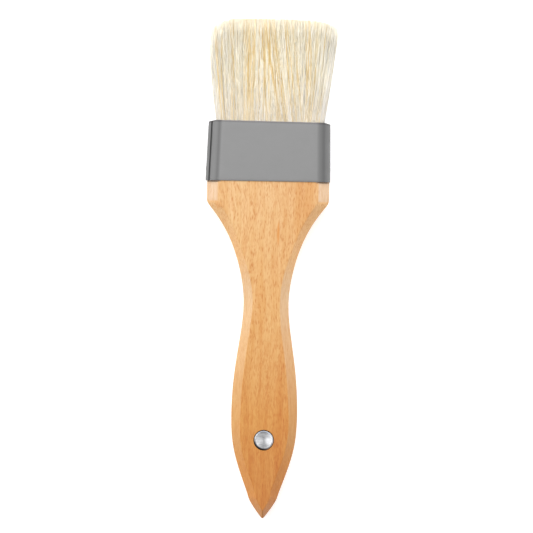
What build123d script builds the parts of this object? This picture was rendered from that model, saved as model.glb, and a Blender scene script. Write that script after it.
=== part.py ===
from build123d import *

import math
import os

# Flat pastry brush, millimetres. The brush lies on its back: X across the width, +Y from the
# handle's point towards the bristle tips, +Z up through the thickness. The origin is at the middle
# of the brush's length and width, on the surface that it lies on.

# ---- driving dimensions -------------------------------------------------------------------------
overall_length = 204.0  # handle point to bristle tips
bristle_free_length = 41.5  # ferrule mouth to bristle tips
ferrule_length = 24.5
sheet = 0.3  # ferrule sheet thickness
slip = 0.03  # gap between pieces that are pushed together and glued

board_half = 6.2  # half the handle board's thickness
shoulder_half_width = 25.05
tenon_length = 11.0  # handle inside the ferrule

flex_above_mouth = 1.8  # the bristles' bending axis, beyond the ferrule's mouth
flex_gap = 0.3  # between the bending bristles and their fixed roots

# ---- places along the brush ---------------------------------------------------------------------
point_y = -overall_length / 2
tips_y = overall_length / 2
mouth_y = tips_y - bristle_free_length
ferrule_end_y = mouth_y - ferrule_length
tenon_end_y = ferrule_end_y + tenon_length
flex_y = mouth_y + flex_above_mouth
mid_z = board_half + slip + sheet  # the brush rests on the ferrule's back face, at Z 0

# ---- handle outline -----------------------------------------------------------------------------
# Stations from the shoulder to the point: distance from the point, half width, chamfer's width.
stations = [
    (120.4, 18.5, 4.0),
    (110.7, 13.75, 3.2),
    (101.0, 10.85, 3.5),
    (88.5, 9.2, 3.65),
    (74.0, 10.5, 3.8),
    (58.0, 12.7, 3.9),
    (42.0, 13.5, 3.8),
    (26.0, 11.75, 3.5),
    (9.8, 6.3, 3.4),
]
chamfer_depth = 3.4  # the chamfers all round the handle, through the thickness
shoulder_chamfer = 4.6  # width of the chamfer beside the ferrule
shoulder_corner = 129.3  # where the flank meets the straight shoulder, from the point
shoulder_corner_radius = 4.0
flank_angle = 39.0  # between the flank and the brush's length, at the shoulder
nose_half_angle = 37.0
nose_radius = 0.8
ridge_length = 3.4  # from the point to the flat face, where the chamfers meet in a ridge
ridge_half_angle = 30.0
ridge_radius = 0.3

# ---- ferrule ------------------------------------------------------------------------------------
ferrule_taper = 0.6  # how much narrower the ferrule is on each side at its mouth
ferrule_flat = 19.8  # half width of the flat face at the handle end
ferrule_side = 2.3  # half height of the flat narrow side
ferrule_bulge = 1.0  # how far the rounded corner stands out from its chord
mouth_trim = 0.6  # the mouth is cut this much shorter at the narrow sides
mouth_trim_width = 2.5
lap_height = 4.5  # the lap seam's free edge, above mid thickness

# ---- small parts --------------------------------------------------------------------------------
magnet_from_point = 32.0
magnet_radius = 4.1
magnet_thickness = 3.0
magnet_edge_radius = 0.45
magnet_depth = 0.1  # its face below the handle's face
magnet_glue = 0.25  # thickness of the glue under the magnet
magnet_hole_radius = 4.25

pin_from_ferrule_end = 5.0
pin_shank_radius = 0.6
pin_length = 9.0
pin_head_radius = 1.2
pin_head_thickness = 0.15
pin_gap = 0.02

resin_length = 7.5
root_depth = 6.0  # how deep the bristle roots stand in the resin
root_inset = 0.6  # resin left between the roots and the ferrule
spacer_half_width = 19.0
spacer_half_thickness = 1.3
spacer_length = 6.8

# ---- bristle tuft: half width, half thickness, half width of the flat, half height of the side ----
tuft_base = (22.8, 5.85, 19.0, 2.2)
tuft_brow = (26.2, 6.45, 22.8, 3.4)
tuft_bulge = 0.9
crown_length = 4.0  # the tuft narrows over this length to its end
crown_drop = 1.2  # by this much on every side

block = 4 * overall_length  # a size larger than anything in the brush


def section(y, half_width, half_thickness, flat, side, bulge):
    """A face across the brush at y: flat front and back, flat narrow sides, and four corners that
    bulge out from their chords. A bulge of 0 gives plain chamfers."""
    run, rise = half_width - flat, half_thickness - side
    chord = math.hypot(run, rise)
    brow_x = (half_width + flat) / 2 + bulge * rise / chord
    brow_h = (half_thickness + side) / 2 + bulge * run / chord

    def at(x, h):
        return (x, y, mid_z + h)

    edges = []
    for sx, sz in ((1, 1), (-1, 1), (-1, -1), (1, -1)):
        start, end = at(sx * half_width, sz * side), at(sx * flat, sz * half_thickness)
        if bulge:
            edges.append(ThreePointArc(start, at(sx * brow_x, sz * brow_h), end))
        else:
            edges.append(Line(start, end))
    for s in (1, -1):
        edges.append(Line(at(-flat, s * half_thickness), at(flat, s * half_thickness)))
        edges.append(Line(at(s * half_width, -side), at(s * half_width, side)))
    return make_face(edges)


def taper_at(y):
    """How much narrower the ferrule is at y than at its handle end, on each side."""
    return ferrule_taper * (y - ferrule_end_y) / ferrule_length


def ferrule_section(y, inset):
    """The ferrule's section at y, inset from its outer surface."""
    half_width = shoulder_half_width + slip + sheet - taper_at(y)
    flat = ferrule_flat - taper_at(y)
    run, rise = half_width - flat, mid_z - ferrule_side
    bulge = ferrule_bulge - inset * (1 - (run + rise) / (2 * math.hypot(run, rise)))
    return section(y, half_width - inset, mid_z - inset, flat, ferrule_side, bulge)


def ferrule_core(y0, y1, inset):
    """The solid inside the ferrule from y0 to y1, inset from its outer surface."""
    return loft([ferrule_section(y0, inset), ferrule_section(y1, inset)], ruled=True)


def outline(chamfered, height):
    """The handle's outline, height above mid thickness, from the ferrule's end to the point. It is
    the widest outline, or the flat face's outline inside the chamfers."""
    narrowing = shoulder_chamfer if chamfered else 0
    half_width = shoulder_half_width - narrowing
    nose_y = point_y + (ridge_length if chamfered else 0)
    radius = ridge_radius if chamfered else nose_radius
    half = math.radians(ridge_half_angle if chamfered else nose_half_angle)
    turn = math.radians(flank_angle)
    corner_y = point_y + shoulder_corner
    reach = shoulder_corner_radius * math.tan(turn / 2)
    flank = (-math.sin(turn), -math.cos(turn))
    flank_start = (half_width + reach * flank[0], corner_y + reach * flank[1])
    nose_start = (radius * math.cos(half), nose_y + radius * (1 - math.sin(half)))
    nose_end = (-nose_start[0], nose_start[1])
    between = [(w - (c if chamfered else 0), point_y + t) for t, w, c in stations]
    right = [
        Line((half_width, ferrule_end_y), (half_width, corner_y + reach)),
        TangentArc((half_width, corner_y + reach), flank_start, tangent=(0, -1)),
        Spline([flank_start, *between, nose_start], tangents=(flank, (-math.sin(half), -math.cos(half)))),
    ]
    left = [mirror(edge, Plane.YZ) for edge in right]
    nose = ThreePointArc(nose_start, (0, nose_y), nose_end)
    end = Line((-half_width, ferrule_end_y), (half_width, ferrule_end_y))
    return Pos(0, 0, mid_z + height) * make_face([*right, nose, *left, end])


def tenon_section(y):
    """The tenon's section at y: the ferrule's section with plain chamfers, a little smaller."""
    half_width = shoulder_half_width - slip - taper_at(y)
    return section(y, half_width, board_half - slip, ferrule_flat - taper_at(y), ferrule_side, 0)


def handle():
    """One piece of beech: grip, shoulder, and the tenon that goes into the ferrule."""
    waist = board_half - chamfer_depth
    body = extrude(outline(False, -waist), 2 * waist, dir=(0, 0, 1))
    for s in (1, -1):
        body += loft([outline(False, s * waist), outline(True, s * board_half)], ruled=True)
    body += loft([tenon_section(ferrule_end_y), tenon_section(tenon_end_y)], ruled=True)
    hole_depth = magnet_depth + magnet_thickness + magnet_glue
    body -= magnet_disc(magnet_hole_radius, 0, hole_depth)
    return body - pin_hole(1) - pin_hole(-1)


def magnet_disc(radius, depth, thickness):
    """A disc at the magnet's place, its top this deep under the handle's front face."""
    z = mid_z + board_half - depth - thickness / 2
    return Pos(0, point_y + magnet_from_point, z) * Cylinder(radius, thickness)


def magnet():
    """A disc magnet with rounded edges, set in the handle's front face to hang the brush by."""
    disc = magnet_disc(magnet_radius, magnet_depth, magnet_thickness)
    return fillet(disc.edges().filter_by(GeomType.CIRCLE), magnet_edge_radius)


def glue():
    """The glue under the magnet."""
    return magnet_disc(magnet_hole_radius - slip, magnet_depth + magnet_thickness, magnet_glue)


def lap_seam():
    """The ferrule's strip laps over itself on one narrow side. The lap is the same tube moved out by
    one sheet, and it ends at its free edge."""
    tube = Pos(-sheet, 0, 0) * ferrule_core(ferrule_end_y, mouth_y, 0)
    below_free_edge = Pos(-block / 2, 0, mid_z + lap_height - block / 2) * Box(block, block, block)
    return tube & below_free_edge


def mouth_cut(side):
    """What is cut from the ferrule's mouth at one narrow side, where it is a little shorter."""
    outer = shoulder_half_width + 3 * sheet
    inner = shoulder_half_width - ferrule_taper - mouth_trim_width
    wedge = Polyline(
        (side * inner, mouth_y),
        (side * outer, mouth_y - mouth_trim),
        (side * outer, mouth_y + mouth_trim),
        (side * inner, mouth_y),
    )
    return extrude(make_face(wedge), block, dir=(0, 0, 1), both=True)


def ferrule():
    """Stainless sheet bent round the handle's tenon and lapped on its left narrow side."""
    body = ferrule_core(ferrule_end_y, mouth_y, 0) + lap_seam()
    body -= ferrule_core(ferrule_end_y, mouth_y, sheet)
    return body - pin_hole(1) - pin_hole(-1) - mouth_cut(1) - mouth_cut(-1)


def place_pin(shape, side):
    """Put a shape that lies along X at a pin's place, on the narrow side named by its sign."""
    turn = Rot(0, 0, 0 if side > 0 else 180)
    return Pos(0, ferrule_end_y + pin_from_ferrule_end, mid_z) * turn * shape


def pin_hole(side):
    """The hole for a pin, from outside the ferrule to just past the pin's end."""
    outside = shoulder_half_width + 3 * sheet
    length = outside - shoulder_half_width + pin_length
    hole = Rot(0, 90, 0) * Cylinder(pin_shank_radius + pin_gap, length)
    return place_pin(Pos(outside - length / 2, 0, 0) * hole, side)


def pin(side):
    """A pin with a low domed head, driven through the ferrule's narrow side into the tenon."""
    lap = 0 if side > 0 else sheet
    highest = taper_at(ferrule_end_y + pin_from_ferrule_end - pin_head_radius)
    seat = shoulder_half_width + slip + sheet + lap - highest + pin_gap
    end = seat - pin_length
    crown = seat + pin_head_thickness
    dome_radius = (pin_head_radius**2 + pin_head_thickness**2) / (2 * pin_head_thickness)
    half_turn = math.asin(pin_head_radius / dome_radius) / 2
    sag = dome_radius * (1 - math.cos(half_turn))
    brow = (crown - sag, dome_radius * math.sin(half_turn))
    profile = make_face(
        [
            Line((end, 0), (end, pin_shank_radius)),
            Line((end, pin_shank_radius), (seat, pin_shank_radius)),
            Line((seat, pin_shank_radius), (seat, pin_head_radius)),
            ThreePointArc((seat, pin_head_radius), brow, (crown, 0)),
            Line((crown, 0), (end, 0)),
        ]
    )
    return place_pin(revolve(profile, Axis.X, 360), side)


def resin():
    """Epoxy cast round the roots and the spacer, against the end of the tenon."""
    resin_end_y = tenon_end_y + resin_length
    body = ferrule_core(tenon_end_y + slip, resin_end_y, sheet + slip)
    return body - ferrule_core(resin_end_y - root_depth, resin_end_y, sheet + root_inset)


def spacer(grow=0.0):
    """The strip between the two bundles of bristles, which opens a hollow that holds liquid."""
    y = tenon_end_y + resin_length - root_depth + spacer_length / 2
    strip = Box(2 * (spacer_half_width + grow), spacer_length + grow, 2 * (spacer_half_thickness + grow))
    return Pos(0, y, mid_z) * strip


def front_or_back(front):
    """A block that holds everything in front of mid thickness, or everything behind it."""
    return Pos(0, 0, mid_z + (block / 2 if front else -block / 2)) * Box(block, block, block)


def flex_end(grow):
    """The bending bristles' lower end: their section turned about the bending axis, so that it stays
    clear of the fixed roots at every angle."""
    half_width, half_thickness, flat, side = tuft_base
    face = section(flex_y, half_width + grow, half_thickness + grow, flat, side, tuft_bulge)
    return revolve(face & front_or_back(True), Axis((0, flex_y, mid_z), (1, 0, 0)), 360)


def roots():
    """Both bundles' fixed roots: set in resin, then filling the ferrule, hollowed for the bend."""
    resin_end_y = tenon_end_y + resin_length
    in_resin = ferrule_core(resin_end_y - root_depth, resin_end_y, sheet + root_inset)
    in_mouth = ferrule_core(resin_end_y, mouth_y, sheet + 2 * slip)
    return in_resin + in_mouth - flex_end(flex_gap) - spacer(slip)


def tuft():
    """The bending length of all the bristles, as one flared block with a crowned end."""
    end = [size - crown_drop for size in tuft_brow]
    lower = section(flex_y, *tuft_base, tuft_bulge)
    brow = section(tips_y - crown_length, *tuft_brow, tuft_bulge)
    upper = section(tips_y, *end, tuft_bulge)
    below_axis = Pos(0, flex_y - block / 2, 0) * Box(block, block, block)
    flared = loft([lower, brow], ruled=True) + loft([brow, upper], ruled=True)
    return flared + (flex_end(0) & below_axis)


def write(name, shape):
    """One STEP file for each node."""
    solids = shape.solids()
    export_step(shape if len(solids) > 1 else solids[0], f"parts/{name}.step")
    print(name, len(solids), "solid(s)", round(sum(s.volume for s in solids), 1), "mm3")


os.makedirs("parts", exist_ok=True)
write("handle", handle())
write("ferrule", ferrule())
write("ferrule_pins", Compound([*pin(1).solids(), *pin(-1).solids()]))
write("hanging_magnet", magnet())
write("magnet_glue", glue())
write("resin_set", resin())
write("spacer_strip", spacer())
for name, front in (("front", True), ("back", False)):
    write(f"bristle_roots_{name}", roots() & front_or_back(front))
    write(f"bristle_tuft_{name}", tuft() & front_or_back(front))
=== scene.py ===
import math

import bmesh
import bpy
import numpy as np
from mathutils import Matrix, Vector, noise
from mathutils.bvhtree import BVHTree


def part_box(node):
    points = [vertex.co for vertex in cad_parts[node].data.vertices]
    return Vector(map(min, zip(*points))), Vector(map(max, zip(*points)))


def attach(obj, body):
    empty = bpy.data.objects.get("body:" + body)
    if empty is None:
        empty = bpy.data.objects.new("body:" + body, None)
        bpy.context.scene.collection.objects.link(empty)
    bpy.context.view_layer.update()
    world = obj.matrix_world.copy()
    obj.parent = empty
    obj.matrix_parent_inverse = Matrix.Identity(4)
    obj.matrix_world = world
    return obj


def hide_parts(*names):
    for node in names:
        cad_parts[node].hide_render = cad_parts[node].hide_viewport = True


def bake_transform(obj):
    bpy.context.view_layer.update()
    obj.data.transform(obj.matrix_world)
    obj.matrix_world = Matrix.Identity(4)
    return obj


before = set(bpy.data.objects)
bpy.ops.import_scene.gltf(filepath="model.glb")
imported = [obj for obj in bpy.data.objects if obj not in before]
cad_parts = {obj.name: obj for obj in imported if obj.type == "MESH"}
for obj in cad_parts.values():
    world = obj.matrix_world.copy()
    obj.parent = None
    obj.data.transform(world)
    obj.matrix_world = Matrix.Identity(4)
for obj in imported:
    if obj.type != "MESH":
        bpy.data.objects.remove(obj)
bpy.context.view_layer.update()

# A flat pastry brush lying on its back. X runs across it, +Y to the bristle tips, +Z up.
MM = 0.001
rng = np.random.default_rng(7)

# ---- places read from the frame ----------------------------------------------
handle_low, handle_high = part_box("handle")
ferrule_low, ferrule_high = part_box("ferrule")
magnet_low, magnet_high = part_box("hanging_magnet")
roots_low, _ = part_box("bristle_roots_front")
_, tuft_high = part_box("bristle_tuft_front")
point_y = handle_low.y
shoulder_y = ferrule_low.y  # where the wood goes into the ferrule
tuck_y = shoulder_y + 1.2 * MM  # the handle's chamfers run on this far, under the ferrule's lip
mouth_y = ferrule_high.y
tips_y = tuft_high.y
mid_z = (ferrule_low.z + ferrule_high.z) / 2
magnet_place = (magnet_low + magnet_high) / 2
magnet_radius = (magnet_high.x - magnet_low.x) / 2


# ---- mesh helpers ------------------------------------------------------------
def make_piece(name, verts, faces, material=None):
    """A smooth-shaded mesh object from lists of points and faces."""
    mesh = bpy.data.meshes.new(name)
    mesh.from_pydata(verts, [], faces)
    mesh.validate()
    mesh.update()
    piece = bpy.data.objects.new(name, mesh)
    bpy.context.scene.collection.objects.link(piece)
    mesh.shade_smooth()
    if material:
        mesh.materials.append(material)
    return piece


def grid_faces(rows, columns):
    """Quads between rows of points, each row a closed ring."""
    faces = []
    for i in range(rows - 1):
        for j in range(columns):
            k = (j + 1) % columns
            faces.append((i * columns + j, i * columns + k, (i + 1) * columns + k, (i + 1) * columns + j))
    return faces


def capped_faces(rows, columns):
    """The same, with both ends closed."""
    last = (rows - 1) * columns
    return [*grid_faces(rows, columns), tuple(range(columns))[::-1], tuple(range(last, last + columns))]


def outward(piece):
    """Turn every face outward."""
    edit = bmesh.new()
    edit.from_mesh(piece.data)
    bmesh.ops.recalc_face_normals(edit, faces=edit.faces)
    edit.to_mesh(piece.data)
    edit.free()


def apply_modifier(piece, kind, **settings):
    """Add a modifier and apply it."""
    modifier = piece.modifiers.new(kind, kind)
    for key, value in settings.items():
        setattr(modifier, key, value)
    with bpy.context.temp_override(object=piece, active_object=piece, selected_objects=[piece]):
        bpy.ops.object.modifier_apply(modifier=modifier.name)


def add_attribute(piece, name, values):
    """A number for every point, which a material can read."""
    attribute = piece.data.attributes.new(name, "FLOAT", "POINT")
    attribute.data.foreach_set("value", np.asarray(values, np.float32))


def wander(position, period, seed):
    """A smooth random number, about -1 to 1, that changes over one period. Each seed gives its own."""
    return noise.noise(Vector((position / period, seed * 17.3, seed * 5.1))) * 1.6


# ---- node helpers ------------------------------------------------------------
def srgb(red, green, blue):
    """A colour given as 0 to 255 display values, in linear light."""
    values = []
    for shade in (red, green, blue):
        share = shade / 255
        values.append(share / 12.92 if share <= 0.04045 else ((share + 0.055) / 1.055) ** 2.4)
    return (*values, 1.0)


class Shader:
    """A node material under construction around one Principled shader."""

    def __init__(self, name, **sockets):
        self.material = bpy.data.materials.new(name)
        self.material.use_nodes = True
        self.tree = self.material.node_tree
        self.surface = self.tree.nodes["Principled BSDF"]
        self.place = self.add("ShaderNodeTexCoord").outputs["Object"]
        for key, value in sockets.items():
            self.surface.inputs[key.replace("_", " ")].default_value = value

    def add(self, kind, inputs=None, **settings):
        """A node, with its sockets set to values or linked to other nodes' sockets."""
        made = self.tree.nodes.new(kind)
        for key, value in settings.items():
            setattr(made, key, value)
        for key, value in (inputs or {}).items():
            if isinstance(value, bpy.types.NodeSocket):
                self.tree.links.new(value, made.inputs[key])
            else:
                made.inputs[key].default_value = value
        return made

    def link(self, socket, name):
        """Drive one of the surface's own sockets."""
        self.tree.links.new(socket, self.surface.inputs[name])

    def attribute(self, name):
        """A number that the mesh holds for each point."""
        return self.add("ShaderNodeAttribute", attribute_name=name).outputs["Fac"]

    def axis(self, vector, name):
        """The X, Y or Z of a vector."""
        return self.add("ShaderNodeSeparateXYZ", {"Vector": vector}).outputs[name]

    def vector(self, kind, a, b=None):
        """Vector arithmetic."""
        made = self.add("ShaderNodeVectorMath", {0: a} if b is None else {0: a, 1: b}, operation=kind)
        return made.outputs["Value" if kind in ("LENGTH", "DOT_PRODUCT") else "Vector"]

    def stretched(self, x, y, z):
        """Object coordinates counted in steps of x, y and z metres."""
        scale = (1 / x, 1 / y, 1 / z)
        return self.add("ShaderNodeMapping", {"Vector": self.place, "Scale": scale}).outputs["Vector"]

    def noise(self, vector, detail=2.0, rough=0.5, distortion=0.0):
        """Smooth noise from 0 to 1 that changes over about one step of the vector."""
        made = self.add("ShaderNodeTexNoise", {
            "Vector": vector, "Scale": 1.0, "Detail": detail, "Roughness": rough, "Distortion": distortion})
        return made.outputs["Fac"]

    def ease(self, value, low, high, to_low=0.0, to_high=1.0):
        """A smooth ramp of a number from low..high to to_low..to_high."""
        made = self.add("ShaderNodeMapRange", {
            "Value": value, "From Min": low, "From Max": high, "To Min": to_low, "To Max": to_high},
            interpolation_type="SMOOTHSTEP")
        return made.outputs["Result"]

    def math(self, kind, a, b):
        """Arithmetic on two numbers."""
        return self.add("ShaderNodeMath", {0: a, 1: b}, operation=kind).outputs["Value"]

    def mix(self, share, a, b, kind="MIX"):
        """Mix two colours."""
        made = self.add("ShaderNodeMix", data_type="RGBA", blend_type=kind)
        for key, value in ((0, share), (6, a), (7, b)):
            if isinstance(value, bpy.types.NodeSocket):
                self.tree.links.new(value, made.inputs[key])
            else:
                made.inputs[key].default_value = value
        return made.outputs[2]

    def tinted(self, share, colour, tint):
        """A colour, multiplied by a tint as far as share says."""
        return self.mix(share, colour, self.mix(1.0, colour, tint, "MULTIPLY"))

    def ramp(self, value, stops):
        """Colours at shares from 0 to 1."""
        made = self.add("ShaderNodeValToRGB", {"Fac": value})
        marks = made.color_ramp.elements
        while len(marks) < len(stops):
            marks.new(0.5)
        for mark, (share, colour) in zip(marks, stops):
            mark.position = share
            mark.color = colour
        return made.outputs["Color"]

    def greys(self, value, stops):
        """A ramp of plain numbers."""
        return self.ramp(value, [(share, (grey, grey, grey, 1)) for share, grey in stops])

    def bump(self, height, distance, strength):
        """Relief, distance metres deep."""
        made = self.add("ShaderNodeBump", {"Height": height, "Distance": distance, "Strength": strength})
        self.link(made.outputs["Normal"], "Normal")


def refinish(node, material):
    """Give a CAD node that is shown as it is a better material."""
    for material_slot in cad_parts[node].material_slots:
        material_slot.material = material


# ---- beech -------------------------------------------------------------------
BEECH_ALONG = [  # the oiled board's colour, from the point (0) to the ferrule (1)
    (0.0, srgb(190, 131, 65)), (0.3, srgb(200, 145, 76)),
    (0.62, srgb(214, 173, 117)), (1.0, srgb(217, 180, 133))]
LEFT_PAINTED_LIGHT = (1.06, 1.07, 1.06, 1.0)  # painted light: the board's flat faces are a little paler on the left
RIGHT_PAINTED_SHADE = (1.01, 0.955, 0.88, 1.0)  # and painted shade, deeper on the right
BOARD_HALF_WIDTH = 15 * MM
SWAY = 1.4 * MM  # how far the grain wanders sideways
MOTTLE_TINT = srgb(243, 221, 195)
BAND_TINT = srgb(243, 222, 188)
ROSY_TINT = (1.0, 0.955, 0.98, 1.0)
FIBRE_TINT = srgb(236, 213, 180)
PALE_TINT = (1.08, 1.1, 1.16, 1.0)
FLECK_TINT = srgb(222, 178, 122)
FLECKS = [  # width and length of the cells that hold one fleck each, tilt in degrees, depth
    (0.55 * MM, 3.4 * MM, 4.0, 0.7),
    (0.7 * MM, 4.6 * MM, -3.0, 0.6),
    (0.4 * MM, 2.2 * MM, 1.0, 0.5),
]
ORANGE = srgb(206, 139, 70)
ORANGE_SPOTS = [  # x, y, half width, half length, strength: a streak, and a spot by the left corner
    (4.5 * MM, 14.7 * MM, 0.75 * MM, 7.0 * MM, 0.9),
    (-20.2 * MM, 26.0 * MM, 2.0 * MM, 2.2 * MM, 0.35),
]
SANDED_AND_LIT_ALONG = (1.08, 1.2, 1.6, 1.0)  # chamfers that follow the grain: paler partly from sanding and partly painted light for their shade and sheen
SANDED_AND_LIT_ACROSS = (1.21, 1.17, 1.13, 1.0)  # chamfers that cut across it, the same
RIGHT_CHAMFER_SHADE = (0.867, 0.8, 0.767, 1.0)  # painted shade on the right chamfers
# how much painted shade the right chamfers get, from the point (0) to the ferrule (1)
RIGHT_CHAMFER_SHADE_ALONG = [(0.1, 1.0), (0.28, 0.6), (0.6, 0.6), (0.75, 0.3), (0.9, 0.3), (0.94, 0.0)]


def beech_figure(m, tone, share, facet, fibres):
    """The board's tone with its mottle, broad soft bands, rosy and pale patches and fine fibres. The
    mottle and the bands are fainter on the chamfers."""
    mottle = m.noise(m.stretched(1.5 * MM, 3.6 * MM, 1.5 * MM), detail=3.0, rough=0.6, distortion=0.7)
    mottled = m.math("MULTIPLY", m.ease(mottle, 0.42, 0.68, 0.0, 0.55), m.ease(share, 0.45, 0.8, 1.0, 0.4))
    mottled = m.math("MULTIPLY", mottled, m.ease(facet, 0.0, 1.0, 1.0, 0.4))
    tone = m.tinted(mottled, tone, MOTTLE_TINT)
    bands = m.noise(m.stretched(3.4 * MM, 60 * MM, 9 * MM), detail=3.0, rough=0.6)
    banded = m.math("MULTIPLY", m.ease(bands, 0.36, 0.66, 0.0, 0.7), m.ease(facet, 0.0, 1.0, 1.0, 0.3))
    tone = m.tinted(banded, tone, BAND_TINT)
    rosy = m.noise(m.stretched(2.4 * MM, 16 * MM, 5 * MM), detail=2.0)
    tone = m.tinted(m.ease(rosy, 0.5, 0.72, 0.0, 0.45), tone, ROSY_TINT)
    tone = m.tinted(m.ease(fibres, 0.38, 0.7, 0.0, 0.7), tone, FIBRE_TINT)
    pale = m.noise(m.stretched(0.45 * MM, 6 * MM, 0.7 * MM), detail=3.0)
    return m.tinted(m.ease(pale, 0.5, 0.72, 0.0, 0.35), tone, PALE_TINT)


def beech_flecks(m):
    """How much of a dark fleck is here, from 0 to 1."""
    fleck = None
    for width, length, tilt, depth in FLECKS:
        turned = m.add("ShaderNodeMapping", {"Vector": m.place, "Rotation": (0, 0, math.radians(tilt))})
        spread = m.add("ShaderNodeMapping", {
            "Vector": turned.outputs["Vector"], "Scale": (1 / width, 1 / length, 1 / width)})
        cells = m.add("ShaderNodeTexVoronoi", {"Vector": spread.outputs["Vector"], "Scale": 1.0})
        here = m.ease(cells.outputs["Distance"], 0.1, 0.36, depth, 0.0)
        fleck = here if fleck is None else m.math("MAXIMUM", fleck, here)
    return fleck


def orange_spots(m, tone, place, fibres):
    """The tone with the orange streak and spot, broken up by the fibres."""
    for x, y, half_width, half_length, strength in ORANGE_SPOTS:
        spot = m.add("ShaderNodeMapping", {
            "Vector": place, "Location": (-x / half_width, -y / half_length, 0),
            "Scale": (1 / half_width, 1 / half_length, 0)})
        away = m.vector("LENGTH", spot.outputs["Vector"])
        near = m.math("MULTIPLY", m.ease(away, 0.3, 1.0, strength, 0.0), m.ease(fibres, 0.25, 0.45, 0.4, 1.0))
        tone = m.mix(near, tone, ORANGE)
    return tone


def chamfers_sanded_lit_and_shaded(m, tone, share, sideways, facet, across):
    """The tone with its chamfers paler, partly from sanding and partly painted light, and painted shade on
    the right ones.
    """
    sanded_and_lit = m.mix(across, SANDED_AND_LIT_ALONG, SANDED_AND_LIT_ACROSS)
    # painted shade: the right chamfers darker, most towards the point
    right_chamfer_shade = m.greys(share, RIGHT_CHAMFER_SHADE_ALONG)
    right_chamfer_shade = m.math("MULTIPLY", m.math("GREATER_THAN", sideways, 0.0), right_chamfer_shade)
    return m.tinted(facet, tone, m.tinted(right_chamfer_shade, sanded_and_lit, RIGHT_CHAMFER_SHADE))


def beech_material():
    """Oiled beech, deeper towards the point, with fibres along the handle, a fine mottle, short dark flecks,
    soft bands and an orange streak. Its flat faces carry painted light, paler on the left, and painted shade,
    deeper on the right; its chamfers are paler, partly from sanding and partly painted light, with painted
    shade on the right ones."""
    m = Shader("oiled_beech", Coat_Weight=0.1, Coat_Roughness=0.35, Specular_IOR_Level=0.4)
    warp = m.noise(m.stretched(9 * MM, 45 * MM, 9 * MM), detail=2.0)
    sway = m.add("ShaderNodeCombineXYZ", {"X": m.ease(warp, 0.2, 0.8, -SWAY, SWAY)})
    straight_place, m.place = m.place, m.vector("ADD", m.place, sway.outputs["Vector"])

    share = m.add("ShaderNodeMapRange", {
        "Value": m.axis(straight_place, "Y"), "From Min": point_y, "From Max": shoulder_y}).outputs["Result"]
    sideways = m.axis(straight_place, "X")
    facet = m.attribute("facet")
    across = m.attribute("across")
    tone = m.ramp(share, BEECH_ALONG)
    # painted light and shade: the flat faces paler on the left and deeper on the right
    board = m.mix(m.ease(sideways, -BOARD_HALF_WIDTH, BOARD_HALF_WIDTH), LEFT_PAINTED_LIGHT, RIGHT_PAINTED_SHADE)
    tone = m.tinted(m.ease(facet, 0.0, 1.0, 1.0, 0.0), tone, board)
    fibres = m.noise(m.stretched(0.3 * MM, 7 * MM, 0.5 * MM), detail=4.0, rough=0.7)
    tone = beech_figure(m, tone, share, facet, fibres)

    fleck = beech_flecks(m)
    on_facet = m.math("MULTIPLY", facet, m.ease(across, 0.0, 1.0, 0.65, 0.25))
    fade = m.math("MULTIPLY", m.ease(share, 0.25, 0.7, 0.65, 1.0), m.math("SUBTRACT", 1.0, on_facet))
    tone = m.tinted(m.math("MULTIPLY", fleck, fade), tone, FLECK_TINT)
    tone = orange_spots(m, tone, straight_place, fibres)
    m.link(chamfers_sanded_lit_and_shaded(m, tone, share, sideways, facet, across), "Base Color")
    m.link(m.ease(fibres, 0.3, 0.8, 0.4, 0.56), "Roughness")
    m.bump(m.math("SUBTRACT", fibres, fleck), 0.03 * MM, 0.5)
    return m.material


# ---- metals ------------------------------------------------------------------
STEEL_TONE = srgb(161, 161, 161)
STEEL_CLOUD_TINT = srgb(250, 250, 250)
# painted shade along the mouth's rim
STEEL_RIM_SHADE = (0.7, 0.69, 0.7, 1)
# Painted reflection: how bright the steel's corners are painted across their width, from the flat face
# (0) to the outline (1), lighter and darker stripes standing in for what the bends reflect.
LEFT_CORNER_REFLECTION = [
    (0.0, 0.75), (0.06, 0.68), (0.14, 0.56), (0.25, 0.54), (0.36, 0.74), (0.5, 0.84), (0.7, 0.8),
    (0.745, 0.47), (0.785, 0.47), (0.83, 0.56), (1.0, 0.5)]
RIGHT_CORNER_REFLECTION = [
    (0.0, 0.75), (0.08, 0.71), (0.22, 0.67), (0.36, 0.62), (0.46, 0.54), (0.58, 0.54), (0.66, 0.63),
    (0.86, 0.58), (1.0, 0.45)]
SHEEN_SIDES = 0.35  # painted sheen: how much brighter the disc is painted towards both sides,
SHEEN_RIGHT = 0.12  # towards the right
SHEEN_TOP = 0.085  # and towards the top
# the painted sheen runs from this dark to this bright
SHEEN_DARK = srgb(30, 31, 34)
SHEEN_BRIGHT = srgb(238, 239, 242)
TURNED_RING = 0.16 * MM  # the width of one fine ring on the disc's face
EDGE_REFLECTION_WIDTH = 0.95 * MM  # painted reflection on the rounded edge, starting this far in from the rim
EDGE_REFLECTION_BLEND = 0.35 * MM
# painted reflection on the rounded edge: light, bluish grey towards the top, and dark at the lower left,
# painted shade
EDGE_REFLECTION = srgb(222, 222, 224)
EDGE_REFLECTION_TOP = srgb(176, 181, 190)
EDGE_SHADE_LOWER_LEFT = srgb(104, 108, 116)
LOWER_LEFT = (-0.62, -0.78, 0)


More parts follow.
